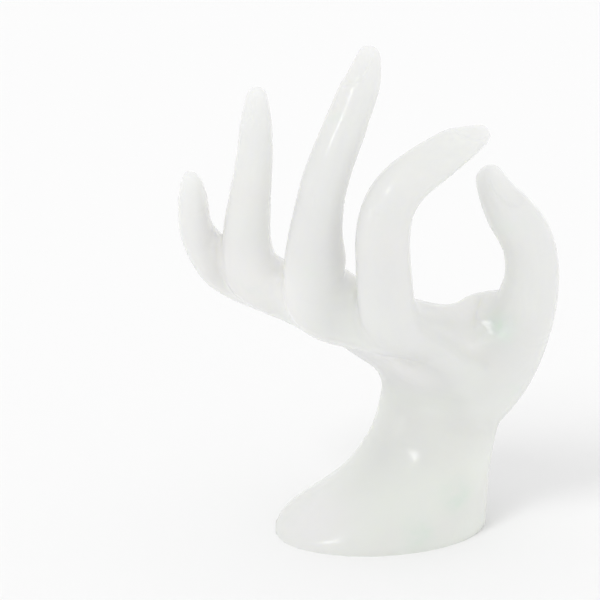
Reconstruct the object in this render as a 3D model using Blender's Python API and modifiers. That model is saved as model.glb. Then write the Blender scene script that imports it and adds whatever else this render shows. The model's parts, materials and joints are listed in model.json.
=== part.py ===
"""A stand for rings and bracelets, in the shape of a hand making the OK sign, cast in one piece.

An oval foot carries a leaning forearm, and the hand is bent back at the wrist: three raised fingers
hold rings, and the index finger and the thumb almost meet in a loop. The frame has +Z up and its origin
in the middle of the flat underside of the foot. The viewer stands at -Y, so +X is on the right.
Lengths are in millimetres here and become metres as the meshes are made. Angles are in degrees.
"""

import bmesh
import bpy
import numpy as np
from mathutils import Vector

MM = 0.001

# The foot: an oval that stands flat, and the rounded edge around its underside. It is widest a little nearer
# the viewer than its middle. The loft goes on a little below the ground, where it is cut away.
FOOT_LENGTH = 69.2
FOOT_DEPTH = 56.0
FOOT_TURN = 11.5
FOOT_WIDEST = 5.6
FOOT_EDGE = 1.2
FOOT_BELOW_GROUND = 3.0

# The slimmest part of the forearm, and the heel of the hand above it: where its middle is, and its size.
WAIST = (19.6, 6.4, 34.5)
WAIST_WIDTH = 40.0
WAIST_DEPTH = 32.0
WAIST_TURN = -30.0
TOE_SWEEP = 0.68
SOLE_SWEEP = 1.6
HEEL = (21.4, 9.0, 49.0)
HEEL_WIDTH = 38.0
HEEL_DEPTH = 26.0

# The roots of the four ribs of the palm lie in a row across the wrist, in steps away from the thumb.
WRIST = (19.0, 10.0, 52.0)
RIB_PITCH = 8.0
RIB_ROW_TURN = -28.0

# A bone is its length, its lean to the right of upright and its lean towards the viewer. A rib is the bone
# from the wrist to the knuckle, and it arches this far towards the palm.
# A girth is the half width across the digit, and the half depths of its back and its palm side. The
# girths are at the knuckle, the middle of the first bone, the next joint and so on, to the tip.
INDEX_RIB = (52.5, -42, 40)
INDEX_ARCH = 1.5
INDEX_BONES = [(34.5, 0, 8), (21.5, 48, -20), (13.8, 70, -32)]
INDEX_GIRTHS = [
    (9.4, 10.0, 8.0),
    (8.4, 8.4, 8.2),
    (7.9, 8.0, 7.4),
    (7.2, 7.0, 6.8),
    (6.6, 6.2, 6.2),
    (5.6, 4.8, 5.6),
    (3.8, 2.9, 3.9),
]
MIDDLE_RIB = (55.5, -56, 26)
MIDDLE_ARCH = 3.5
MIDDLE_BONES = [(37.5, 2, 15), (25.5, 18, -11), (18.0, 18, -17)]
MIDDLE_GIRTHS = [
    (9.4, 10.0, 9.0),
    (8.4, 8.2, 8.2),
    (7.5, 7.5, 7.3),
    (6.9, 6.7, 6.8),
    (6.6, 6.1, 6.3),
    (5.8, 5.0, 5.8),
    (3.9, 3.0, 4.1),
]
RING_RIB = (63.0, -58, 15)
RING_ARCH = 4.0
RING_BONES = [(29.8, -4, 20), (20.0, 3, 14), (14.0, 3, 11)]
RING_GIRTHS = [
    (8.8, 9.4, 8.4),
    (7.5, 7.5, 7.0),
    (6.7, 6.6, 6.2),
    (6.1, 5.7, 5.8),
    (5.7, 5.2, 5.4),
    (5.0, 4.3, 5.0),
    (3.5, 2.8, 3.7),
]
LITTLE_RIB = (57.0, -61, 6)
LITTLE_ARCH = 4.0
LITTLE_BONES = [(24.0, -38, 30), (14.0, -9, 25), (10.2, -7, 26)]
LITTLE_GIRTHS = [
    (8.2, 9.2, 8.2),
    (6.8, 7.4, 6.8),
    (6.0, 6.2, 5.8),
    (5.6, 5.4, 5.4),
    (5.3, 5.0, 5.2),
    (4.7, 4.2, 4.8),
    (3.3, 2.6, 3.5),
]

THUMB_ROOT = (23.4, 6.0, 30.2)
THUMB_BONES = [(49.0, 25, 20), (26.0, 5, 9), (23.5, -29, -7)]
THUMB_GIRTHS = [
    (11.0, 11.0, 11.0),
    (14.4, 13.4, 13.2),
    (10.8, 10.6, 10.4),
    (8.7, 8.6, 8.4),
    (8.1, 7.8, 8.4),
    (7.8, 6.2, 8.8),
    (4.8, 3.6, 6.0),
]

# The ribs of the palm: half width, and half depths of the back and the palm side, at the wrist and halfway.
RIB_ROOT_GIRTH = (9.0, 10.0, 12.0)
RIB_MID_GIRTH = (9.0, 10.5, 9.0)

# Between two ribs the palm is filled by others like them, which stop short of the knuckles.
FILLERS = 2
FILLER_REACH = 0.85

# The wrist bends the forearm into the palm: its girths at the waist, the heel and the hollow of the palm.
WRIST_GIRTHS = [
    (19.0, 15.0, 15.0),
    (19.0, 14.0, 12.5),
    (15.0, 9.0, 10.0),
]

# The edge of the web between the thumb and the palm starts this far along the index finger's rib, and it
# rises halfway. Behind the edge the web is filled by limbs that lie between the rib and the thumb's first
# bone. They thin out along the way on their palm side.
WEB_START = 0.4
WEB_END = (-1.0, 9.0, -1.5)
WEB_WIDTH = 4.5
WEB_DEPTH = 8.0
WEB_RISE = 4.0
WEB_REACH = 0.6
WEB_TAPER = 0.5

# How the lumps become one skin: the cell of the remesh, and how far the hollows are filled.
CELL = 0.9
PALM_FILLET = 5.0
WEB_FILLET = 1.4
SOFTENING = 12
KEPT_FACES = 0.066

RESIN_COLOUR = (0.775, 0.8, 0.765, 1.0)
RESIN_ROUGHNESS = 0.3

COLLECTION = "jewelry_stand"
NODE = "hand_form"

# How many sections a half bone, the foot's rounded edge and the forearm are lofted through.
STEPS = 6
EDGE_STEPS = 4
FOREARM_STEPS = 8


def clear_scene():
    for item in list(bpy.data.objects):
        bpy.data.objects.remove(item)


def direction(lean, towards):
    """The unit vector that leans this far to the right of upright, and this far towards the viewer."""
    lean, towards = np.radians(lean), np.radians(towards)
    return np.array([np.sin(lean) * np.cos(towards), -np.sin(towards), np.cos(lean) * np.cos(towards)])


def catmull_rom(rows, counts):
    """A smooth run of rows through the given ones. `counts` says how many to make for each span."""
    rows = np.asarray(rows, float)
    padded = np.vstack([2 * rows[0] - rows[1], rows, 2 * rows[-1] - rows[-2]])
    spans = []
    for a, b, c, d, count in zip(padded, padded[1:], padded[2:], padded[3:], counts):
        t = np.arange(count)[:, None] / count
        bend = (2 * a - 5 * b + 4 * c - d) * t**2
        twist = (3 * b - a - 3 * c + d) * t**3
        spans.append(0.5 * (2 * b + (c - a) * t + bend + twist))
    return np.vstack([*spans, rows[-1:]])


def mesh_from_rings(name, rings):
    """A closed mesh from rings of points, each ring joined to the next, with its two ends filled."""
    shape = bmesh.new()
    rows = [[shape.verts.new(Vector(point) * MM) for point in ring] for ring in rings]
    for low, high in zip(rows, rows[1:]):
        for i in range(len(low)):
            shape.faces.new((low[i - 1], low[i], high[i], high[i - 1]))
    shape.faces.new(rows[0])
    shape.faces.new(rows[-1])
    bmesh.ops.recalc_face_normals(shape, faces=shape.faces)
    mesh = bpy.data.meshes.new(name)
    shape.to_mesh(mesh)
    shape.free()
    return bpy.data.objects.new(name, mesh)


def limb(name, centres, sizes, back, sides=28):
    """A loft along the centres with an oval section at each, and a round end. `back` is out of its back."""
    along = np.gradient(centres, axis=0)
    along /= np.linalg.norm(along, axis=1)[:, None]
    out = back - (along @ back)[:, None] * along
    out /= np.linalg.norm(out, axis=1)[:, None]
    across = np.cross(along, out)
    # The end is rounded off over a quarter turn, as far beyond the last section as that is thick.
    turn = np.radians(np.arange(18, 91, 12))[:, None]
    centres = np.vstack([centres, centres[-1] + sizes[-1].mean() * np.sin(turn) * along[-1]])
    sizes = np.vstack([sizes, np.maximum(np.cos(turn), 0.05) * sizes[-1]])
    out = np.vstack([out, np.repeat(out[-1:], len(turn), 0)])
    across = np.vstack([across, np.repeat(across[-1:], len(turn), 0)])
    angle = np.linspace(0, 2 * np.pi, sides, endpoint=False)
    depth = np.where(np.sin(angle) > 0, sizes[:, 1:2], sizes[:, 2:3]) * np.sin(angle)
    width = sizes[:, :1] * np.cos(angle)
    rings = centres[:, None] + width[:, :, None] * across[:, None] + depth[:, :, None] * out[:, None]
    return mesh_from_rings(name, rings)


def chain(root, bones):
    """The root, then the far end of each bone in turn."""
    points = [np.array(root, float)]
    for length, lean, towards in bones:
        points.append(points[-1] + length * direction(lean, towards))
    return points


def curl_of(bones):
    """Which way the digit curls, from its first bone to its last: the side that its palm side faces."""
    return direction(*bones[-1][1:]) - direction(*bones[0][1:])


def rib_path(place, rib, arch, curl):
    """A rib's root at the wrist, its arched middle and its knuckle."""
    turn = np.radians(RIB_ROW_TURN)
    steps = (len(FINGERS) - 1) / 2 - place
    root = np.array(WRIST) + steps * RIB_PITCH * np.array([np.cos(turn), np.sin(turn), 0])
    root, knuckle = chain(root, [rib])
    lift = curl - (curl @ direction(*rib[1:])) * direction(*rib[1:])
    return [root, (root + knuckle) / 2 + arch * lift / np.linalg.norm(lift), knuckle]


def finger(place, name):
    """A finger and its rib of the palm as one limb, and the rib alone with a round knuckle."""
    rib, arch, bones, girths = FINGERS[name]
    curl = curl_of([rib, *bones])
    path = rib_path(place, rib, arch, curl)
    joints = chain(path[-1], bones)[1:]
    centres = catmull_rom([*path, *joints], [STEPS, STEPS] + [2 * STEPS] * len(bones))
    sizes = catmull_rom([RIB_ROOT_GIRTH, RIB_MID_GIRTH, *girths], [STEPS] * (len(girths) + 1))
    return limb(name, centres, sizes, -curl), (centres[: 2 * STEPS + 1], sizes[: 2 * STEPS + 1], curl)


def palm(ribs):
    """The ribs as limbs with round knuckles, the fillers between them, and the wrist that carries them."""
    lumps = [limb("rib", centres, sizes, -curl) for centres, sizes, curl in ribs]
    for one, other in zip(ribs, ribs[1:]):
        for share in np.arange(1, FILLERS + 1) / (FILLERS + 1):
            centres, sizes, curl = [(1 - share) * a + share * b for a, b in zip(one, other)]
            reach = round(FILLER_REACH * 2 * STEPS) + 1
            lumps.append(limb("filler", centres[:reach], sizes[:reach], -curl))
    hollow = np.mean([centres[STEPS] for centres, _, _ in ribs], axis=0)
    centres = catmull_rom([WAIST, HEEL, hollow], [STEPS, STEPS])
    sizes = catmull_rom(WRIST_GIRTHS, [STEPS, STEPS])
    lumps.append(limb("wrist", centres, sizes, -np.mean([curl for _, _, curl in ribs], axis=0)))
    return lumps


def thumb():
    """The thumb as one limb, and its ball, which is part of the palm."""
    curl = curl_of(THUMB_BONES)
    centres = catmull_rom(chain(THUMB_ROOT, THUMB_BONES), [2 * STEPS] * len(THUMB_BONES))
    sizes = catmull_rom(THUMB_GIRTHS, [STEPS] * (len(THUMB_GIRTHS) - 1))
    return limb("thumb", centres, sizes, -curl), (centres[: 2 * STEPS + 1], sizes[: 2 * STEPS + 1])


def web(rib, ball):
    """The web between the index finger's rib and the thumb: its edge, and the muscle that fills it."""
    (centres, sizes, _), (thumb_centres, thumb_sizes) = rib, ball
    start = centres[0] + WEB_START * (centres[-1] - centres[0])
    end = thumb_centres[-1] + np.array(WEB_END)
    middle = (start + end) / 2 + np.array([0, 0, WEB_RISE])
    edge = catmull_rom([start, middle, end], [STEPS, STEPS])
    edge_sizes = np.tile([WEB_WIDTH, WEB_DEPTH, WEB_DEPTH], (len(edge), 1))
    lumps = [limb("web", edge, edge_sizes, np.array([0.0, 0.0, -1.0]))]
    reach = round(WEB_REACH * 2 * STEPS) + 1
    back = np.cross(thumb_centres[-1] - thumb_centres[0], centres[-1] - centres[0])
    for share in (0.25, 0.5, 0.75):
        between = (1 - share) * centres + share * thumb_centres
        girths = ((1 - share) * sizes + share * thumb_sizes)[:reach]
        girths[:, 2] *= 1 - WEB_TAPER * np.linspace(0, 1, reach)
        lumps.append(limb("muscle", between[:reach], girths, back))
    return lumps


def s_curve(share):
    return share * share * (3 - 2 * share)


def level_oval(share):
    """The forearm's level section, this share of the way up to the waist: its middle, its half sizes, its
    turn and how much nearer the viewer than its middle it is widest.

    The section's toe end and its depth swing in from the foot along one S curve. Its heel end, its turn and
    its place towards the viewer follow another, which starts later.
    """
    toe, sole = s_curve(share**TOE_SWEEP), s_curve(share**SOLE_SWEEP)
    foot = np.array([0, 0, 0, FOOT_LENGTH / 2, FOOT_DEPTH / 2, FOOT_TURN, FOOT_WIDEST])
    waist = np.array([*WAIST, WAIST_WIDTH / 2, WAIST_DEPTH / 2, WAIST_TURN, 0])
    oval = foot + sole * (waist - foot)
    toe_end = (1 - toe) * (foot[0] - foot[3]) + toe * (waist[0] - waist[3])
    heel_end = (1 - sole) * (foot[0] + foot[3]) + sole * (waist[0] + waist[3])
    oval[0], oval[3] = (toe_end + heel_end) / 2, (heel_end - toe_end) / 2
    oval[4] = foot[4] + toe * (waist[4] - foot[4])
    oval[2] = share * WAIST[2]
    return oval


def forearm(sides=56):
    """The foot and the forearm, as level ovals from below the ground up into the heel of the hand."""
    sections = []
    for turn in np.radians(np.linspace(0, 90, EDGE_STEPS)):
        inset, height = FOOT_EDGE * (1 - np.sin(turn)), FOOT_EDGE * (1 - np.cos(turn))
        sections.append(level_oval(height / WAIST[2]) - np.array([0, 0, 0, inset, inset, 0, 0]))
    lowest = sections[0] - np.array([0, 0, FOOT_BELOW_GROUND, 0, 0, 0, 0])
    sections += [level_oval(share) for share in np.linspace(0, 1, FOREARM_STEPS)[1:]]
    heel = np.array([*HEEL, HEEL_WIDTH / 2, HEEL_DEPTH / 2, WAIST_TURN, 0])
    rows = catmull_rom([lowest, *sections, heel], [4] * (len(sections) + 1))
    x, y, z, length, depth, turn, widest = rows.T[:, :, None]
    angle = np.linspace(0, 2 * np.pi, sides, endpoint=False)
    u = length * np.cos(angle)
    v = depth * np.sin(angle) - widest * (1 - np.abs(np.sin(angle)))
    turn = np.radians(turn)
    turned_x = x + u * np.cos(turn) - v * np.sin(turn)
    turned_y = y + u * np.sin(turn) + v * np.cos(turn)
    return mesh_from_rings("forearm", np.stack([turned_x, turned_y, z + 0 * u], 2))


FINGERS = {
    "index": (INDEX_RIB, INDEX_ARCH, INDEX_BONES, INDEX_GIRTHS),
    "middle": (MIDDLE_RIB, MIDDLE_ARCH, MIDDLE_BONES, MIDDLE_GIRTHS),
    "ring": (RING_RIB, RING_ARCH, RING_BONES, RING_GIRTHS),
    "little": (LITTLE_RIB, LITTLE_ARCH, LITTLE_BONES, LITTLE_GIRTHS),
}


def joined(name, lumps):
    """The lumps as one object, still overlapping."""
    shape = bmesh.new()
    for lump in lumps:
        shape.from_mesh(lump.data)
        bpy.data.objects.remove(lump)
    mesh = bpy.data.meshes.new(name)
    shape.to_mesh(mesh)
    shape.free()
    return bpy.data.objects.new(name, mesh)


def remesh(thing, name):
    skin = thing.modifiers.new(name, "REMESH")
    skin.mode = "VOXEL"
    skin.voxel_size = CELL * MM
    skin.use_smooth_shade = True


def offset(thing, name, distance):
    grow = thing.modifiers.new(name, "DISPLACE")
    grow.mid_level = 0.0
    grow.strength = distance * MM


def fill_hollows(thing, radius):
    """Fuses the lumps, then swells and shrinks them, which leaves a fillet of this radius in each hollow."""
    remesh(thing, "fuse")
    offset(thing, "swell", radius)
    remesh(thing, "fuse_swollen")
    offset(thing, "shrink", -radius)


def baked(thing, collection):
    """The thing with its modifiers applied."""
    collection.objects.link(thing)
    seen = thing.evaluated_get(bpy.context.evaluated_depsgraph_get())
    mesh = bpy.data.meshes.new_from_object(seen)
    bpy.data.objects.remove(thing)
    return bpy.data.objects.new("baked", mesh)


def stand_flat(hand):
    """Cuts away what lies below the ground, which leaves the flat underside."""
    bpy.ops.mesh.primitive_cube_add(size=1)
    ground = bpy.context.object
    ground.name = "ground_cutter"
    ground.dimensions = (2 * FOOT_LENGTH * MM, 2 * FOOT_DEPTH * MM, FOOT_DEPTH * MM)
    ground.location.z = -FOOT_DEPTH / 2 * MM
    ground.hide_render = True
    ground.display_type = "WIRE"
    cutters = bpy.data.collections.new("cutters")
    bpy.context.scene.collection.children.link(cutters)
    for home in ground.users_collection:
        home.objects.unlink(ground)
    cutters.objects.link(ground)
    cut = hand.modifiers.new("flat_underside", "BOOLEAN")
    cut.operation = "DIFFERENCE"
    cut.object = ground


def frosted_resin():
    """A pale grey green casting resin with a satin skin."""
    material = bpy.data.materials.new("frosted_resin")
    material.use_nodes = True
    surface = material.node_tree.nodes["Principled BSDF"]
    surface.inputs["Base Color"].default_value = RESIN_COLOUR
    surface.inputs["Roughness"].default_value = RESIN_ROUGHNESS
    surface.inputs["Metallic"].default_value = 0.0
    return material


def main():
    clear_scene()
    collection = bpy.data.collections.new(COLLECTION)
    bpy.context.scene.collection.children.link(collection)
    fingers = [finger(place, name) for place, name in enumerate(FINGERS)]
    ribs = [rib for _, rib in fingers]
    whole_thumb, ball = thumb()
    thumb_ball = limb("ball", *ball, -curl_of(THUMB_BONES))
    core = joined("core", [forearm(), thumb_ball, *web(ribs[0], ball), *palm(ribs)])
    fill_hollows(core, PALM_FILLET)
    hand = joined(NODE, [baked(core, collection), whole_thumb] + [whole for whole, _ in fingers])
    fill_hollows(hand, WEB_FILLET)
    remesh(hand, "one_skin")
    smooth = hand.modifiers.new("soft_joins", "SMOOTH")
    smooth.factor = 0.5
    smooth.iterations = SOFTENING
    fewer = hand.modifiers.new("fewer_faces", "DECIMATE")
    fewer.ratio = KEPT_FACES
    stand_flat(hand)
    hand.data.materials.append(frosted_resin())
    collection.objects.link(hand)


main()
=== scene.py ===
"""A jewelry stand in the shape of a hand: its cast skin in frosted resin, on a pale studio floor.

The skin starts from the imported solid. It is remeshed finely and smoothed, and its hollows are filled.
Then it is moved along its normals by functions of where each point lies on its digit or palm: nails,
creases at the joints, lines of the palm. Lengths in the code are in metres, apart from those whose
names end in _MM or _mm, and the bones'. Angles are in degrees.
"""

import json

import bmesh
import bpy
import numpy as np
from bpy.props import FloatProperty, FloatVectorProperty, IntProperty, PointerProperty
from mathutils import Matrix, Vector

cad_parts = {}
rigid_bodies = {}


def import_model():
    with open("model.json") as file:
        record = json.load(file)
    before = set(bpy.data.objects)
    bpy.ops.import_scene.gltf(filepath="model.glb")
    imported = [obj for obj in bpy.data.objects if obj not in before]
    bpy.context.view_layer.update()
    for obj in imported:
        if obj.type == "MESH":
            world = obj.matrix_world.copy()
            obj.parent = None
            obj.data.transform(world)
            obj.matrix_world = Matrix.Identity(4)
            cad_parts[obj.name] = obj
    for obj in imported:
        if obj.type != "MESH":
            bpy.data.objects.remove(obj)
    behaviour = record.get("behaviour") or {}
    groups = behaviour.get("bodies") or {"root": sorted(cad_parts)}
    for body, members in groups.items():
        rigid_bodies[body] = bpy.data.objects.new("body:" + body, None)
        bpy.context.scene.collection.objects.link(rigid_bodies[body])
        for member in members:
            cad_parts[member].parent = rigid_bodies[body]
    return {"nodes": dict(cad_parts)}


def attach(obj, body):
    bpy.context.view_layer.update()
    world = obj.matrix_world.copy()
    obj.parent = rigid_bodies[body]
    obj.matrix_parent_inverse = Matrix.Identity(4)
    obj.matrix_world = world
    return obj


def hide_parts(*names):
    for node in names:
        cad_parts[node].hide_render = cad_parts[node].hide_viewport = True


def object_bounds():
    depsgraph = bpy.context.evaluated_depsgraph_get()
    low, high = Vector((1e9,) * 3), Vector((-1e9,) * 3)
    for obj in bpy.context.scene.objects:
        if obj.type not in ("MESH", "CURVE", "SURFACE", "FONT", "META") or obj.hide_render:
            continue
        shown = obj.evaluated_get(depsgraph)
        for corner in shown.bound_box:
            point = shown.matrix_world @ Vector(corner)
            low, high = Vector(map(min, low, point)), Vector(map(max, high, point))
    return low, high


bl_info = {
    "name": "Hand jewelry stand",
    "version": (1, 0, 0),
    "blender": (4, 5, 0),
    "location": "3D View > Sidebar > Stand",
    "description": "Makes a hand-shaped jewelry stand in frosted resin and a pale floor for it",
    "category": "Add Mesh",
}

for leftover in list(bpy.data.objects):
    bpy.data.objects.remove(leftover)
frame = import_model()
CAD_LOW, CAD_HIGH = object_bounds()

MM = 0.001
HAND_NODE = "hand_form"

# The digits' bones, as in the solid: each is its length in millimetres, its lean to the right of
# upright and its lean towards the viewer. The ribs are the bones from the wrist to the knuckles, and
# their roots lie in a row.
WRIST_MM = (19.0, 10.0, 52.0)
RIB_PITCH_MM = 8.0
RIB_ROW_TURN = -28.0
RIBS = {
    "index": (52.5, -42, 40),
    "middle": (55.5, -56, 26),
    "ring": (63.0, -58, 15),
    "little": (57.0, -61, 6),
}
BONES = {
    "index": [(34.5, 0, 8), (21.5, 48, -20), (13.8, 70, -32)],
    "middle": [(37.5, 2, 15), (25.5, 18, -11), (18.0, 18, -17)],
    "ring": [(29.8, -4, 20), (20.0, 3, 14), (14.0, 3, 11)],
    "little": [(24.0, -38, 30), (14.0, -9, 25), (10.2, -7, 26)],
    "thumb": [(49.0, 25, 20), (26.0, 5, 9), (23.5, -29, -7)],
}
THUMB_ROOT_MM = (23.4, 6.0, 30.2)

# The middle of the foot, of the waist of the forearm and of the heel of the hand.
FOREARM_MM = [(0, 0, 0), (10.0, 3.0, 16.0), (19.6, 6.4, 34.5), (21.4, 9.0, 49.0)]

# Lines on the skin: where the thumb passes in front of the web, the line that curves round the ball of the
# thumb, the edge where the heel of the hand overhangs the forearm, and the low ridge at the thumb's root.
THUMB_FOLD_MM = [(31.6, -5.5, 79.2), (30.6, -9.5, 76.6), (29.3, -14.0, 74.0), (27.6, -18.0, 71.0)]
PALM_LINE_MM = [
    (8.8, -36.3, 82.8),
    (15.3, -28.0, 74.6),
    (22.7, -22.1, 67.2),
    (29.9, -19.9, 62.4),
    (35.5, -19.4, 60.0),
]
HEEL_EDGE_MM = [(4.0, -2.0, 53.2), (12.1, -7.0, 50.7), (22.0, -13.7, 49.1), (32.4, -15.8, 46.3)]
THUMB_RIDGE_MM = [
    (24.5, -21.0, 65.5),
    (29.2, -18.8, 67.3),
    (33.5, -18.2, 69.0),
    (37.2, -19.9, 71.2),
    (40.5, -21.2, 74.5),
]

# Where the resin is greener: each place and how far the tint spreads round it.
JADE_MM = [((13.0, -24.0, 5.0), 5.0), ((24.8, -16.3, 15.1), 5.0), ((36.5, -19.5, 73.0), 4.5)]
# Painted light: places whose colour is painted lighter to take out the shade in the valleys between the
# fingers' roots, in hollows of the palm and heel, and at the foot's rim by the floor. Each is a place and
# how far the lighter colour spreads round it.
PAINTED_LIGHT_MM = [
    ((-32.0, -17.0, 86.0), 12.0),
    ((-20.0, -17.0, 7.0), 13.0),
    ((26.0, -12.0, 75.0), 7.0),
    ((10.0, -10.0, 55.0), 9.0),
    ((-11.0, -18.0, 89.0), 8.0),
]

# Hollows of the solid that the casting fills: each one's middle and how far it reaches.
HOLLOWS_MM = [
    ((9.0, -4.0, 49.0), 20.0),
    ((9.0, 23.0, 46.0), 15.0),
    ((32.5, 11.5, 57.0), 14.0),
    ((-11.5, -14.0, 85.0), 12.0),
    ((34.0, -18.5, 71.0), 15.0),
]

# Where the cast hand lies a little off the solid: the place, how far round it the shift reaches, and
# the shift. The last one raises the web between the middle finger and the index finger.
SHIFTS_MM = [
    ((-42.0, -14.0, 103.0), 15.0, (-1.7, 0.0, 0.0)),
    ((-49.0, 2.0, 80.0), 14.0, (-1.5, 0.0, -1.2)),
    ((0.0, -36.0, 109.0), 16.0, (-1.4, 0.0, 0.0)),
    ((-2.7, -20.0, 150.0), 8.0, (0.9, 0.0, 0.3)),
    ((-36.4, -20.0, 143.0), 12.0, (-0.8, 0.0, 0.8)),
    ((39.5, -16.0, 112.0), 11.0, (-1.1, 0.0, -0.9)),
    ((-12.0, -22.0, 94.0), 9.0, (1.7, 0.0, 0.0)),
    ((-10.5, -16.0, 85.5), 9.0, (0.0, -2.2, 4.2)),
]

# Each nail: its length and its width, and how far its free edge lies beyond the last bone's end.
NAILS_MM = {
    "index": (11.0, 8.6, 2.9),
    "middle": (12.5, 9.0, 3.0),
    "ring": (10.5, 8.0, 2.6),
    "little": (8.5, 6.8, 2.4),
    "thumb": (14.0, 11.4, 3.6),
}

# How high the foot's rim reaches, and the angle between faces from which an edge shows, as it does at
# that rim.
RIM_HEIGHT = 0.0038
SHARP_ANGLE = 50.0

# Where the creases inside a finger's middle joint and the wrinkles on a joint's back lie along it, and
# the widths of all lines on the skin, each as the distance at which a bell curve has sunk to 1/e.
CREASE_OFFSETS = (-0.0011, 0.0011)
CREASE_WIDTH = 0.0007
WRINKLE_OFFSETS = (-0.0021, 0.0, 0.0021)
WRINKLE_WIDTH = 0.0006
FOLD_WIDTH = 0.0011
PALM_LINE_WIDTH = 0.0022
THUMB_RIDGE_WIDTH = 0.0024

# How far below its lower free joint a digit's creases may start, which part of the way the filling of
# valleys goes into a ridge, and how many steps a curve takes between two of the points given.
BEFORE_JOINT = 0.006
INTO_RIDGES = 0.45
PATH_STEPS = 24

# The exponent of a nail's oval: 2 gives an ellipse, and a larger one a squarer outline.
NAIL_SQUARENESS = 2.6

# The resin takes its thick tint between these distances from a digit's centre line: greener, as the
# resin is, and lighter, as painted light against the shade of the thick parts. Light spreads inside it
# less and less below this height above the ground.
THIN = 0.006
THICK = 0.021
FULL_BLEED_HEIGHT = 0.032

# How many patches of each kind of noise lie along a metre of resin.
CLOUDS_PER_M = 26
WARM_PER_M = 34
FLECKS_PER_M = 75
MOTTLE_PER_M = 190
GLOSS_PER_M = 110
SWELL_PER_M = 150
GRAIN_PER_M = 2600

# How far the roughness strays from its mean, how far red, green and blue light spread in the resin as
# shares of its bleed, and the strength and the depth of the skin's soft swell and of its grain.
GLOSS_SPREAD = 0.03
BLEED_OF_COLOURS = (1.0, 1.0, 0.9)
SWELL = (0.2, 0.0003)
GRAIN = (0.12, 0.00004)

# The skin's last smoothing, and how many times the faces at the nails are split, with its smoothing
# each time.
LAST_SMOOTHING = 12
NAIL_SPLITS = 2
NAIL_SMOOTHING = 3

# The camera stands where the photograph was taken from. Its lens and its sensor are in millimetres.
CAMERA_TARGET = (-0.0242, 0.0, 0.0746)
CAMERA_DISTANCE = 0.75
CAMERA_ELEVATION = 20.0
CAMERA_LENS = 145.1
CAMERA_SENSOR = 36.0

# How far the windows hang from the camera's target, and how far the floor reaches from its middle.
LAMP_DISTANCE = 1.5
FLOOR_HALF = 4.0

# Places in the sky are given by how far they are to the right of the viewer and how far above the
# horizon. A sun has its width and its place, and a window its width and its two ends.
KEY_SUN = (30, -36, 44)
FLOOR_SUN = (20, -42, 47)
LEFT_WINDOW = (6, (-43, 35), (-38, 42))
LOW_WINDOW = (4, (-80, 4), (-78, 8))
LOW_WINDOW_SHARE = 0.25


class SkinSizes(bpy.types.PropertyGroup):
    """How fine the skin is, and how deep its details are."""

    cell: FloatProperty(
        name="Cell", description="Size of the skin's faces", default=0.00088, unit="LENGTH"
    )
    smoothing: IntProperty(
        name="Smoothing", description="Rounds that take out the solid's facets", default=30
    )
    nail_groove: FloatProperty(
        name="Nail groove",
        description="Depth of the groove round a nail",
        default=0.00018,
        unit="LENGTH",
    )
    nail_step: FloatProperty(
        name="Nail edge",
        description="How far a nail's free edge stands proud",
        default=0.00024,
        unit="LENGTH",
    )
    joint_crease: FloatProperty(
        name="Joint crease",
        description="Depth of the creases inside a joint",
        default=0.00022,
        unit="LENGTH",
    )
    joint_wrinkle: FloatProperty(
        name="Joint wrinkle",
        description="Depth of the wrinkles on a joint's back",
        default=0.00012,
        unit="LENGTH",
    )
    palm_line: FloatProperty(
        name="Palm line", description="Depth of the lines of the palm", default=0.0005, unit="LENGTH"
    )
    heel_edge: FloatProperty(
        name="Heel edge",
        description="How far the hand's heel overhangs the forearm",
        default=0.0004,
        unit="LENGTH",
    )
    thumb_ridge: FloatProperty(
        name="Thumb ridge",
        description="Height of the ridge at the thumb's root",
        default=0.0008,
        unit="LENGTH",
    )
    foot_edge: FloatProperty(
        name="Foot edge",
        description="How far the foot's rounded rim sinks to meet the floor",
        default=0.0009,
        unit="LENGTH",
    )
    valley_fill: IntProperty(
        name="Valley fill",
        description="Rounds that fill the valleys between the fingers' roots",
        default=200,
    )
    thumb_fold: FloatProperty(
        name="Thumb fold",
        description="Depth of the fold beside the ball of the thumb",
        default=0.0006,
        unit="LENGTH",
    )


class ResinLook(bpy.types.PropertyGroup):
    """Colours and finish of the frosted resin."""

    # The thin parts' colour is darker and the thick parts' lighter. This is painted shade on the thin
    # digits, which light shines through, and painted light on the thick palm and forearm; the green of the
    # thick parts is the resin's own.
    pale: FloatVectorProperty(
        name="Pale",
        description="Colour of the thin parts",
        subtype="COLOR",
        default=(0.755, 0.756, 0.757),
    )
    green: FloatVectorProperty(
        name="Green",
        description="Colour of the thick parts",
        subtype="COLOR",
        default=(0.81, 0.827, 0.79),
    )
    warm: FloatVectorProperty(
        name="Warm",
        description="Colour of the warmer patches",
        subtype="COLOR",
        default=(0.79, 0.775, 0.765),
    )
    # Painted light: the lighter colour laid where shade falls in the hand's valleys and hollows and at the
    # foot's rim.
    painted_light: FloatVectorProperty(
        name="Milky",
        description="Colour of the milkier places",
        subtype="COLOR",
        default=(0.85, 0.847, 0.842),
    )
    jade: FloatVectorProperty(
        name="Jade",
        description="Colour of the few greener places",
        subtype="COLOR",
        default=(0.70, 0.79, 0.72),
    )
    roughness: FloatProperty(name="Roughness", description="Roughness of the satin skin", default=0.23)
    bleed: FloatProperty(
        name="Bleed", description="How far light spreads inside the resin", default=0.012, unit="LENGTH"
    )


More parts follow.
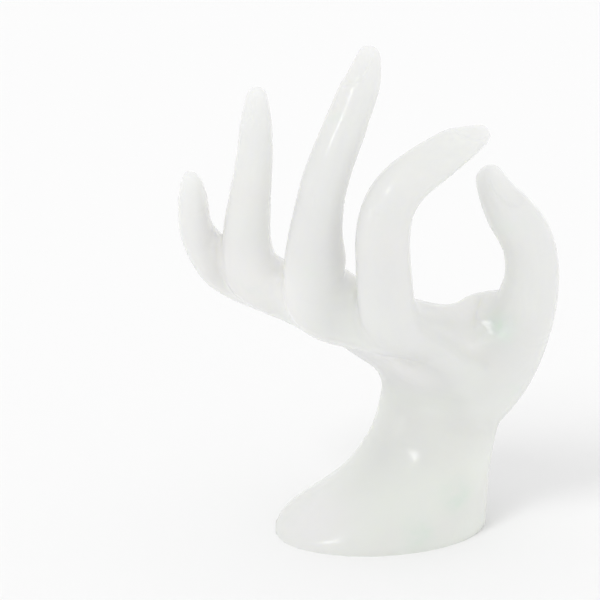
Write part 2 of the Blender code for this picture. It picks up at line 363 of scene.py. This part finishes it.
class StageLook(bpy.types.PropertyGroup):
    """The floor and the lights."""

    floor: FloatVectorProperty(
        name="Floor", description="Colour of the floor", subtype="COLOR", default=(0.84, 0.84, 0.84)
    )
    ambient: FloatProperty(
        name="Ambient", description="Strength of the light from all round", default=0.97
    )
    key: FloatProperty(name="Key", description="Strength of the main soft light", default=0.08)
    floor_key: FloatProperty(
        name="Floor light",
        description="Strength of the light that falls on the floor alone",
        default=0.74,
    )
    window: FloatProperty(
        name="Window", description="Brightness of the windows that gloss shows", default=11.0
    )
    glow: FloatProperty(
        name="Floor glow", description="How far the camera sees the floor as plain white", default=0.05
    )


def direction(lean, towards):
    """The unit vector that leans `lean` degrees to the right of upright and `towards` degrees to the
    viewer."""
    lean, towards = np.radians(lean), np.radians(towards)
    return np.array([np.sin(lean) * np.cos(towards), -np.sin(towards), np.cos(lean) * np.cos(towards)])


def chain(root, bones):
    """The root and the far end of each bone, in metres."""
    points = [np.asarray(root, float)]
    for length, lean, towards in bones:
        points.append(points[-1] + length * MM * direction(lean, towards))
    return points


def smooth_path(points, steps=PATH_STEPS):
    """A Catmull-Rom curve: between two points it is the cubic whose end slopes are half the chords past
    them."""
    points = np.asarray(points, float)
    padded = np.vstack([2 * points[0] - points[1], points, 2 * points[-1] - points[-2]])
    t = (np.arange(steps) / steps)[:, None, None]
    a, b, c, d = padded[:-3], padded[1:-2], padded[2:-1], padded[3:]
    bend = (2 * a - 5 * b + 4 * c - d) * t**2
    twist = (3 * b - a - 3 * c + d) * t**3
    curve = 0.5 * (2 * b + (c - a) * t + bend + twist)
    return np.vstack([curve.transpose(1, 0, 2).reshape(-1, 3), points[-1:]])


def unit(vectors):
    return vectors / np.linalg.norm(vectors, axis=-1, keepdims=True)


def rib_root(name):
    """Where a finger's rib starts at the wrist."""
    turn = np.radians(RIB_ROW_TURN)
    steps = (len(RIBS) - 1) / 2 - list(RIBS).index(name)
    return (np.array(WRIST_MM) + steps * RIB_PITCH_MM * np.array([np.cos(turn), np.sin(turn), 0])) * MM


class Digit:
    """A digit's centre line, and where points lie on it: how far along, and which way round from its
    back."""

    def __init__(self, name):
        bones = BONES[name]
        if name in RIBS:
            bones, root = [RIBS[name], *bones], rib_root(name)
        else:
            root = np.array(THUMB_ROOT_MM) * MM
        self.joints = chain(root, bones)
        self.line = smooth_path(self.joints)
        self.along = unit(np.gradient(self.line, axis=0))
        curl = direction(*bones[-1][1:]) - direction(*bones[0][1:])
        self.back = unit(-curl + (self.along @ curl)[:, None] * self.along)
        steps = np.linalg.norm(np.diff(self.line, axis=0), axis=1)
        self.lengths = np.concatenate([[0], np.cumsum(steps)])
        self.joint_lengths = self.lengths[:: (len(self.line) - 1) // len(bones)]

    def place(self, points):
        """Three arrays: how far along the line each point is, its angle from the back, and its distance."""
        distance = np.linalg.norm(points[:, None] - self.line[None], axis=2)
        near = distance.argmin(axis=1)
        offset = points - self.line[near]
        ahead = (offset * self.along[near]).sum(axis=1)
        radial = offset - ahead[:, None] * self.along[near]
        height = (radial * self.back[near]).sum(axis=1)
        side = (radial * np.cross(self.along[near], self.back[near])).sum(axis=1)
        return self.lengths[near] + ahead, np.arctan2(side, height), np.hypot(side, height)


def line_distance(points, line_mm):
    """How far each point is from a curve through these points."""
    line = smooth_path(np.array(line_mm, float) * MM)
    return np.linalg.norm(points[:, None] - line[None], axis=2).min(axis=1)


def ramp(value, start, end):
    """0 before start, 1 after end, and an S curve between them."""
    share = np.clip((value - start) / (end - start), 0, 1)
    return share * share * (3 - 2 * share)


def ridge(value, width):
    """A bell curve that is 1 where the value is 0."""
    return np.exp(-((value / width) ** 2))


def nail_relief(name, digit, along, angle, distance, sizes):
    """How far a nail moves the skin out: a plate inside an oval, whose distance from its middle is a
    superellipse of the share along and the share across. Its free end stands proud, and a groove and a
    low fold run round its other sides."""
    length, width, beyond = (value * MM for value in NAILS_MM[name])
    end = digit.lengths[-1] + beyond
    forward = (along - end + length / 2) / (length / 2)
    across = angle * distance / (width / 2)
    power = NAIL_SQUARENESS
    oval = (np.abs(forward) ** power + np.abs(across) ** power) ** (1 / power)
    on_back = ramp(np.cos(angle), 0.0, 0.35)
    free = ramp(forward, 0.35, 0.85)
    height = sizes.nail_step * ramp(forward, -0.6, 1.0) - 0.4 * sizes.nail_groove
    plate = (1 - ramp(oval, 0.9, 1.04)) * height
    groove = -sizes.nail_groove * ridge(oval - 1.06, 0.1) * (1 - free)
    fold = 0.4 * sizes.nail_groove * ridge(oval - 1.32, 0.16) * (1 - free)
    return on_back * (plate + groove + fold)


def joint_relief(digit, along, angle, sizes):
    """The creases of the joints: bell-shaped grooves across the palm side, two at the middle joint and
    one at the others, and three finer ones over the joints on the back, which bow towards the tip in
    the middle."""
    relief = np.zeros(len(along))
    inside, outside = ramp(-np.cos(angle), 0.1, 0.8), ramp(np.cos(angle), 0.3, 0.9)
    for number, joint in enumerate(digit.joint_lengths[-3:-1]):
        for offset in CREASE_OFFSETS if number == 0 else (0.0,):
            relief -= sizes.joint_crease * inside * ridge(along - joint - offset, CREASE_WIDTH)
        for offset in WRINKLE_OFFSETS:
            bow = joint + offset * (1 - 0.35 * np.abs(np.sin(angle)))
            relief -= sizes.joint_wrinkle * outside * ridge(along - bow, WRINKLE_WIDTH)
    return relief


def beside_line(points, normals, line_mm):
    """How far each point is from a line, measured along the skin, less than zero on its right-hand
    side, and a share that is 1 by the line and falls to 0 at its ends and well inside or outside the
    skin."""
    line = smooth_path(np.array(line_mm, float) * MM)
    offset = points[:, None] - line[None]
    near = (offset**2).sum(axis=2).argmin(axis=1)
    offset = points - line[near]
    lift = (offset * normals).sum(axis=1)
    flat = offset - lift[:, None] * normals
    side = (flat * np.cross(normals, np.gradient(line, axis=0)[near])).sum(axis=1)
    share = near / (len(line) - 1)
    ends = ramp(share, 0, 0.2) * (1 - ramp(share, 0.8, 1))
    return np.sign(side) * np.linalg.norm(flat, axis=1), ends * (1 - ramp(np.abs(lift), 0.003, 0.006))


def line_relief(points, normals, sizes):
    """The fold, the palm's line, the ridge and the edge. The first two are grooves and the third stands
    proud, all three as bell curves of the distance from the line. The edge is a step that rises in an S
    curve across its line and sinks back slowly above it."""
    distance, share = beside_line(points, normals, THUMB_FOLD_MM)
    relief = -sizes.thumb_fold * share * ridge(distance, FOLD_WIDTH)
    distance, share = beside_line(points, normals, PALM_LINE_MM)
    relief -= sizes.palm_line * share * ridge(distance, PALM_LINE_WIDTH)
    distance, share = beside_line(points, normals, THUMB_RIDGE_MM)
    relief += sizes.thumb_ridge * share * ridge(distance, THUMB_RIDGE_WIDTH)
    distance, share = beside_line(points, normals, HEEL_EDGE_MM)
    step = ramp(distance, -0.0026, 0.0024) * (1 - ramp(distance, 0.003, 0.012))
    return relief + sizes.heel_edge * share * step


def neighbour_mean(values, edges):
    """The mean of the values at each point's neighbours."""
    count = len(values)
    ends = np.concatenate([edges[:, 0], edges[:, 1]])
    others = np.concatenate([edges[:, 1], edges[:, 0]])
    degree = np.maximum(np.bincount(ends, minlength=count), 1)
    columns = [np.bincount(ends, column, count) / degree for column in values[others].T]
    return np.stack(columns, axis=1)


def smoothed(points, edges, rounds, inward=0.5, outward=-0.52):
    """Each round moves the points towards their neighbours' mean, then a little further back, which
    takes out bumps and keeps the volume."""
    for _ in range(rounds):
        for share in (inward, outward):
            points = points + share * (neighbour_mean(points, edges) - points)
    return points


def filled(points, normals, edges, weight, rounds):
    """Fills valleys where the weight is 1: each point moves along its normal to where many rounds of plain
    neighbour means would take it, all the way out of a valley but only part of the way into a ridge."""
    soft = points
    for _ in range(rounds):
        soft = soft + 0.5 * weight[:, None] * (neighbour_mean(soft, edges) - soft)
    out = ((soft - points) * normals).sum(axis=1)
    return points + np.where(out > 0, out, INTO_RIDGES * out)[:, None] * normals


def points_of(mesh):
    flat = np.empty(3 * len(mesh.vertices), np.float32)
    mesh.vertices.foreach_get("co", flat)
    return flat.reshape(-1, 3).astype(float)


def normals_of(mesh):
    flat = np.empty(3 * len(mesh.vertices), np.float32)
    mesh.vertex_normals.foreach_get("vector", flat)
    return flat.reshape(-1, 3).astype(float)


def edges_of(mesh):
    flat = np.empty(2 * len(mesh.edges), np.int32)
    mesh.edges.foreach_get("vertices", flat)
    return flat.reshape(-1, 2)


def set_points(mesh, points):
    mesh.vertices.foreach_set("co", points.astype(np.float32).ravel())
    mesh.update()


def merged_copy(node, name):
    """The node's loose triangles as one mesh, each place in it once."""
    source = node.data
    source.calc_loop_triangles()
    corners = np.empty(3 * len(source.loop_triangles), np.int32)
    source.loop_triangles.foreach_get("vertices", corners)
    points, index = np.unique(np.round(points_of(source), 7), axis=0, return_inverse=True)
    mesh = bpy.data.meshes.new(name)
    mesh.from_pydata(points, [], index.reshape(-1)[corners].reshape(-1, 3))
    return bpy.data.objects.new(name, mesh)


def remeshed(thing, cell):
    """The thing as even quads of this size."""
    skin = thing.modifiers.new("fine_skin", "REMESH")
    skin.mode = "VOXEL"
    skin.voxel_size = cell
    skin.use_smooth_shade = True
    bpy.context.scene.collection.objects.link(thing)
    seen = thing.evaluated_get(bpy.context.evaluated_depsgraph_get())
    mesh = bpy.data.meshes.new_from_object(seen)
    bpy.data.objects.remove(thing)
    return mesh


def near_nail(name, digit, points):
    """Which points lie on or close to a digit's nail."""
    along, angle, distance = digit.place(points)
    length, width, beyond = (value * MM for value in NAILS_MM[name])
    start = digit.lengths[-1] + beyond - 1.25 * length
    return (along > start) & (np.abs(angle) * distance < 0.75 * width) & (distance < 2.4 * width / 2)


def refine(mesh, chosen):
    """Splits each edge in two where both its ends are chosen."""
    shape = bmesh.new()
    shape.from_mesh(mesh)
    shape.edges.ensure_lookup_table()
    edges = edges_of(mesh)
    picked = [shape.edges[int(i)] for i in np.flatnonzero(chosen[edges].all(axis=1))]
    bmesh.ops.subdivide_edges(shape, edges=picked, cuts=1, use_grid_fill=True, smooth=0.0)
    shape.to_mesh(mesh)
    shape.free()


def nearest_digit(places):
    """The number of the digit that each point belongs to: the one whose line it is closest to."""
    return np.argmin([distance for _, _, distance in places], axis=0)


def palm_share(digits, points):
    """1 on the palm and the back of the hand, and 0 on the digits, the ball of the thumb and the
    forearm."""
    places = [digit.place(points) for digit in digits.values()]
    owner = nearest_digit(places)
    share = np.zeros(len(points))
    for number, (name, digit) in enumerate(digits.items()):
        if name in RIBS:
            along = places[number][0]
            knuckle = digit.joint_lengths[1]
            own = (1 - ramp(along, knuckle - 0.002, knuckle + 0.012)) * ramp(along, 0.012, 0.028)
            share = np.where(owner == number, own, share)
    return share


def away_from(points, place_mm):
    """How far each point is from a place."""
    return np.linalg.norm(points - np.array(place_mm) * MM, axis=1)


def near_places(points, places_mm):
    """The largest of some bell curves of the distance, one round each place."""
    return np.max([ridge(away_from(points, place), reach * MM) for place, reach in places_mm], axis=0)


def store(mesh, name, values):
    """Keeps one number for each point of the mesh, for its material."""
    mesh.attributes.new(name, "FLOAT", "POINT").data.foreach_set("value", values.astype(np.float32))


def shifted(points):
    """Shifts the skin a little by some places: each shift is spread by a bell curve of the distance
    from it."""
    moved = points.copy()
    for place, reach, shift in SHIFTS_MM:
        share = ridge(away_from(points, place), reach * MM)
        moved += share[:, None] * np.array(shift) * MM
    return moved


def fill_valleys(mesh, digits, sizes):
    """Fills the valleys between the fingers' roots, and then the solid's other hollows."""
    points, edges = points_of(mesh), edges_of(mesh)
    weight = palm_share(digits, points)
    points = filled(points, normals_of(mesh), edges, weight, sizes.valley_fill)
    set_points(mesh, points)
    away = [away_from(points, place) / (reach * MM) for place, reach in HOLLOWS_MM]
    weight = 1 - ramp(np.min(away, axis=0), 0.5, 1.0)
    points = filled(points, normals_of(mesh), edges, weight, 2 * sizes.valley_fill)
    set_points(mesh, smoothed(points, edges, LAST_SMOOTHING))


def split_at_nails(mesh, digits):
    """Splits the faces at the nails, so that they can carry the nails' fine edges."""
    for _ in range(NAIL_SPLITS):
        points = points_of(mesh)
        chosen = np.any([near_nail(name, digit, points) for name, digit in digits.items()], axis=0)
        refine(mesh, chosen)
        set_points(mesh, smoothed(points_of(mesh), edges_of(mesh), NAIL_SMOOTHING))


def with_relief(points, normals, digits, places, sizes):
    """The points moved along the normals by all the relief, then shifted, with the foot's rim sunk to
    the floor."""
    owner = nearest_digit(places)
    relief = np.zeros(len(points))
    for number, (name, digit) in enumerate(digits.items()):
        along, angle, distance = places[number]
        own = (owner == number) & (along > digit.joint_lengths[-3] - BEFORE_JOINT)
        shape = nail_relief(name, digit, along, angle, distance, sizes)
        relief += own * (shape + joint_relief(digit, along, angle, sizes))
    relief += line_relief(points, normals, sizes)
    points = shifted(points + relief[:, None] * normals)
    points[:, 2] -= sizes.foot_edge * (1 - ramp(points[:, 2], 0.0, RIM_HEIGHT))
    points[:, 2] = np.clip(points[:, 2], CAD_LOW.z, CAD_HIGH.z)
    return points


def keep_tints(mesh, points, places):
    """Keeps what the resin's colour depends on: how thick and how high it is, how near to tinted
    places, and how near to the places where a lighter colour is painted in against the shade."""
    centre = [distance for _, _, distance in places] + [line_distance(points, FOREARM_MM)]
    store(mesh, "depth", ramp(np.min(centre, axis=0), THIN, THICK))
    store(mesh, "above_ground", ramp(points[:, 2], 0.0, FULL_BLEED_HEIGHT))
    store(mesh, "jade", near_places(points, JADE_MM))
    store(mesh, "painted_light", near_places(points, PAINTED_LIGHT_MM))


class STAND_OT_make_hand(bpy.types.Operator):
    """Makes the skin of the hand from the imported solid"""

    bl_idname = "jewelry_stand.make_hand"
    bl_label = "Make the hand"

    def execute(self, context):
        sizes = context.scene.stand_skin
        digits = {name: Digit(name) for name in BONES}
        mesh = remeshed(merged_copy(frame["nodes"][HAND_NODE], "hand_skin"), sizes.cell)
        set_points(mesh, smoothed(points_of(mesh), edges_of(mesh), sizes.smoothing))
        fill_valleys(mesh, digits, sizes)
        split_at_nails(mesh, digits)
        points = points_of(mesh)
        places = [digit.place(points) for digit in digits.values()]
        points = with_relief(points, normals_of(mesh), digits, places, sizes)
        set_points(mesh, points)
        mesh.shade_smooth()
        mesh.set_sharp_from_angle(angle=np.radians(SHARP_ANGLE))
        keep_tints(mesh, points, places)
        hand = bpy.data.objects.new("hand_skin", mesh)
        context.scene.collection.objects.link(hand)
        mesh.materials.clear()
        mesh.materials.append(frosted_resin(context.scene.stand_resin))
        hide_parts(HAND_NODE)
        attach(hand, "root")
        return {"FINISHED"}


def link_or_set(links, socket, value):
    if isinstance(value, bpy.types.NodeSocket):
        links.new(value, socket)
    else:
        socket.default_value = value


def noise(nodes, links, scale, detail=2.0, distortion=0.0):
    """Noise in the object's own coordinates. The scale is in patches to the metre."""
    place = nodes.new("ShaderNodeTexCoord")
    pattern = nodes.new("ShaderNodeTexNoise")
    pattern.inputs["Scale"].default_value = scale
    pattern.inputs["Detail"].default_value = detail
    pattern.inputs["Distortion"].default_value = distortion
    links.new(place.outputs["Object"], pattern.inputs["Vector"])
    return pattern.outputs["Fac"]


def between(nodes, links, value, start, end, low=0.0, high=1.0):
    """The value brought from the range start to end into the range low to high, and kept inside it."""
    spread = nodes.new("ShaderNodeMapRange")
    for name, number in (("From Min", start), ("From Max", end), ("To Min", low), ("To Max", high)):
        spread.inputs[name].default_value = number
    links.new(value, spread.inputs["Value"])
    return spread.outputs["Result"]


def sums(nodes, links, kind, first, second):
    """The two values added, multiplied and so on, kept between 0 and 1."""
    step = nodes.new("ShaderNodeMath")
    step.operation = kind
    step.use_clamp = True
    link_or_set(links, step.inputs[0], first)
    link_or_set(links, step.inputs[1], second)
    return step.outputs[0]


def mixed(nodes, links, share, first, second):
    """A colour between two: the share of the second one."""
    blend = nodes.new("ShaderNodeMix")
    blend.data_type = "RGBA"
    link_or_set(links, blend.inputs["Factor"], share)
    link_or_set(links, blend.inputs[6], first)
    link_or_set(links, blend.inputs[7], second)
    return blend.outputs[2]


def attribute(nodes, name):
    own = nodes.new("ShaderNodeAttribute")
    own.attribute_name = name
    return own.outputs["Fac"]


def bump(nodes, links, height, strength, distance):
    step = nodes.new("ShaderNodeBump")
    step.inputs["Strength"].default_value = strength
    step.inputs["Distance"].default_value = distance
    links.new(height, step.inputs["Height"])
    return step


def frosted_resin(look):
    """Resin with a satin skin, which light enters and leaves a few millimetres away. It is greener
    where it is thick, and also lighter there as painted light, while the thin digits are darker as
    painted shade. It has soft clouds, warmer patches and a few jade places, and it is painted lighter
    against the shade in the hand's valleys and hollows and at the foot's rim. Its skin has a fine grain."""
    material = bpy.data.materials.new("frosted_resin")
    material.use_nodes = True
    nodes, links = material.node_tree.nodes, material.node_tree.links
    surface = nodes["Principled BSDF"]
    # Thin parts take the darker colour and thick parts the lighter green one: the green is the resin's,
    # while the lightness is painted shade on the thin digits and painted light on the thick parts.
    clouds = between(nodes, links, noise(nodes, links, CLOUDS_PER_M, 3), 0.35, 0.65, 0.0, 0.35)
    depth = between(nodes, links, attribute(nodes, "depth"), 0, 1, 0.0, 0.75)
    tint = mixed(nodes, links, sums(nodes, links, "ADD", clouds, depth), (*look.pale, 1), (*look.green, 1))
    patches = between(nodes, links, noise(nodes, links, WARM_PER_M, 2, 0.6), 0.5, 0.68, 0.0, 0.35)
    tint = mixed(nodes, links, patches, tint, (*look.warm, 1))
    # Painted light: a lighter colour in the hand's valleys and hollows and at the foot's rim, where shade
    # falls.
    tint = mixed(nodes, links, attribute(nodes, "painted_light"), tint, (*look.painted_light, 1))
    flecks = between(nodes, links, noise(nodes, links, FLECKS_PER_M, 3, 0.4), 0.62, 0.74, 0.0, 0.25)
    mottle = between(nodes, links, noise(nodes, links, MOTTLE_PER_M, 3, 0.5), 0.3, 0.7, 0.15, 0.75)
    greener = sums(nodes, links, "MULTIPLY", attribute(nodes, "jade"), mottle)
    tint = mixed(nodes, links, sums(nodes, links, "MAXIMUM", flecks, greener), tint, (*look.jade, 1))
    links.new(tint, surface.inputs["Base Color"])
    smooth, rough = look.roughness - GLOSS_SPREAD, look.roughness + GLOSS_SPREAD
    gloss = between(nodes, links, noise(nodes, links, GLOSS_PER_M, 3), 0.3, 0.7, smooth, rough)
    links.new(gloss, surface.inputs["Roughness"])
    bleed = sums(nodes, links, "MULTIPLY", attribute(nodes, "above_ground"), look.bleed)
    links.new(bleed, surface.inputs["Subsurface Scale"])
    surface.inputs["Subsurface Weight"].default_value = 1.0
    surface.inputs["Subsurface Radius"].default_value = BLEED_OF_COLOURS
    swell = bump(nodes, links, noise(nodes, links, SWELL_PER_M, 2), *SWELL)
    grain = bump(nodes, links, noise(nodes, links, GRAIN_PER_M, 2), *GRAIN)
    links.new(swell.outputs["Normal"], grain.inputs["Normal"])
    links.new(grain.outputs["Normal"], surface.inputs["Normal"])
    return material


def straight_rays(nodes, links):
    """1 for what the camera sees straight, in gloss or through glass, and 0 for light that falls on
    things."""
    rays = nodes.new("ShaderNodeLightPath")
    seen = rays.outputs["Is Camera Ray"]
    for name in ("Is Glossy Ray", "Is Transmission Ray"):
        most = nodes.new("ShaderNodeMath")
        most.operation = "MAXIMUM"
        links.new(seen, most.inputs[0])
        links.new(rays.outputs[name], most.inputs[1])
        seen = most.outputs[0]
    return seen


def floor_material(look):
    """Pale paper. To the camera alone it is mixed with plain white, so that it looks white and keeps a
    shadow."""
    material = bpy.data.materials.new("pale_floor")
    material.use_nodes = True
    nodes, links = material.node_tree.nodes, material.node_tree.links
    surface = nodes["Principled BSDF"]
    surface.inputs["Base Color"].default_value = (*look.floor, 1)
    surface.inputs["Roughness"].default_value = 0.9
    surface.inputs["Specular IOR Level"].default_value = 0.1
    white = nodes.new("ShaderNodeEmission")
    share = nodes.new("ShaderNodeMath")
    share.operation = "MULTIPLY"
    share.inputs[1].default_value = look.glow
    links.new(straight_rays(nodes, links), share.inputs[0])
    both = nodes.new("ShaderNodeMixShader")
    links.new(share.outputs[0], both.inputs[0])
    links.new(surface.outputs[0], both.inputs[1])
    links.new(white.outputs[0], both.inputs[2])
    links.new(both.outputs[0], nodes["Material Output"].inputs["Surface"])
    return material


def sky_way(azimuth, elevation):
    """The unit vector towards a place that far to the right of the viewer and that far above the
    horizon."""
    side, up = np.radians(azimuth), np.radians(elevation)
    return Vector((np.sin(side) * np.cos(up), -np.cos(side) * np.cos(up), np.sin(up)))


def soft_sun(name, strength, width, azimuth, elevation):
    """Even light from one side, from a patch of sky `width` degrees wide, which shows in no gloss."""
    lamp = bpy.data.lights.new(name, "SUN")
    lamp.energy = strength
    lamp.angle = np.radians(width)
    light = bpy.data.objects.new(name, lamp)
    bpy.context.scene.collection.objects.link(light)
    way = sky_way(azimuth, elevation)
    light.location = Vector(CAMERA_TARGET) + way
    light.rotation_euler = (-way).to_track_quat("-Z", "Y").to_euler()
    light.visible_glossy = False
    return light


def gloss_strip(name, brightness, width, start, end):
    """A bright strip of sky `width` degrees wide between two places, which shows in gloss alone."""
    ways = [sky_way(*start), sky_way(*end)]
    way = (ways[0] + ways[1]).normalized()
    up = (ways[1] - ways[0]).normalized()
    lamp = bpy.data.lights.new(name, "AREA")
    lamp.shape = "RECTANGLE"
    lamp.size = LAMP_DISTANCE * np.radians(width)
    lamp.size_y = LAMP_DISTANCE * (ways[1] - ways[0]).length + lamp.size
    lamp.energy = brightness * np.pi * lamp.size * lamp.size_y
    light = bpy.data.objects.new(name, lamp)
    bpy.context.scene.collection.objects.link(light)
    light.location = Vector(CAMERA_TARGET) + LAMP_DISTANCE * way
    light.rotation_euler = Matrix((up.cross(way), up, way)).transposed().to_euler()
    light.visible_diffuse = False
    light.visible_camera = False


class STAND_OT_make_stage(bpy.types.Operator):
    """Makes the floor, the lights, the world and the camera"""

    bl_idname = "jewelry_stand.make_stage"
    bl_label = "Make the stage"

    def execute(self, context):
        look = context.scene.stand_stage
        corners = [(x * FLOOR_HALF, y * FLOOR_HALF, 0) for x, y in ((-1, -1), (1, -1), (1, 1), (-1, 1))]
        mesh = bpy.data.meshes.new("floor")
        mesh.from_pydata(corners, [], [(0, 1, 2, 3)])
        mesh.materials.append(floor_material(look))
        floor = bpy.data.objects.new("floor", mesh)
        context.scene.collection.objects.link(floor)
        soft_sun("key_light", look.key, *KEY_SUN)
        shade = soft_sun("floor_light", look.floor_key, *FLOOR_SUN)
        lit = bpy.data.collections.new("lit_by_the_floor_light")
        lit.objects.link(floor)
        shade.light_linking.receiver_collection = lit
        gloss_strip("left_window", look.window, *LEFT_WINDOW)
        gloss_strip("low_window", LOW_WINDOW_SHARE * look.window, *LOW_WINDOW)
        self.light_the_room(context, look)
        self.place_camera(context)
        context.scene.view_settings.view_transform = "Standard"
        return {"FINISHED"}

    def light_the_room(self, context, look):
        """A white room to the camera, to gloss and through glass, and a softer light for all else."""
        world = bpy.data.worlds.new("white_room")
        context.scene.world = world
        world.use_nodes = True
        nodes, links = world.node_tree.nodes, world.node_tree.links
        room = nodes["Background"]
        room.inputs["Color"].default_value = (1, 1, 1, 1)
        strength = nodes.new("ShaderNodeMapRange")
        strength.inputs["To Min"].default_value = look.ambient
        strength.inputs["To Max"].default_value = 1.0
        links.new(straight_rays(nodes, links), strength.inputs["Value"])
        links.new(strength.outputs["Result"], room.inputs["Strength"])

    def place_camera(self, context):
        up = np.radians(CAMERA_ELEVATION)
        way = Vector((0, -np.cos(up), np.sin(up)))
        camera = bpy.data.objects.new("camera", bpy.data.cameras.new("camera"))
        camera.data.lens = CAMERA_LENS
        camera.data.sensor_width = CAMERA_SENSOR
        camera.data.clip_start = 0.01
        camera.location = Vector(CAMERA_TARGET) + CAMERA_DISTANCE * way
        camera.rotation_euler = (-way).to_track_quat("-Z", "Y").to_euler()
        context.scene.collection.objects.link(camera)
        context.scene.camera = camera


class STAND_PT_panel(bpy.types.Panel):
    """Lists the stand's operators and its sizes"""

    bl_label = "Jewelry stand"
    bl_space_type = "VIEW_3D"
    bl_region_type = "UI"
    bl_category = "Stand"

    def draw(self, context):
        layout = self.layout
        for operator in (STAND_OT_make_hand, STAND_OT_make_stage):
            layout.operator(operator.bl_idname)
        for group in (context.scene.stand_skin, context.scene.stand_resin, context.scene.stand_stage):
            box = layout.box()
            for name in group.__annotations__:
                box.prop(group, name)


CLASSES = (SkinSizes, ResinLook, StageLook, STAND_OT_make_hand, STAND_OT_make_stage, STAND_PT_panel)


def register():
    for item in CLASSES:
        bpy.utils.register_class(item)
    bpy.types.Scene.stand_skin = PointerProperty(type=SkinSizes)
    bpy.types.Scene.stand_resin = PointerProperty(type=ResinLook)
    bpy.types.Scene.stand_stage = PointerProperty(type=StageLook)


def unregister():
    del bpy.types.Scene.stand_stage
    del bpy.types.Scene.stand_resin
    del bpy.types.Scene.stand_skin
    for item in reversed(CLASSES):
        bpy.utils.unregister_class(item)


def main():
    register()
    bpy.ops.jewelry_stand.make_hand()
    bpy.ops.jewelry_stand.make_stage()


if __name__ == "__main__":
    main()
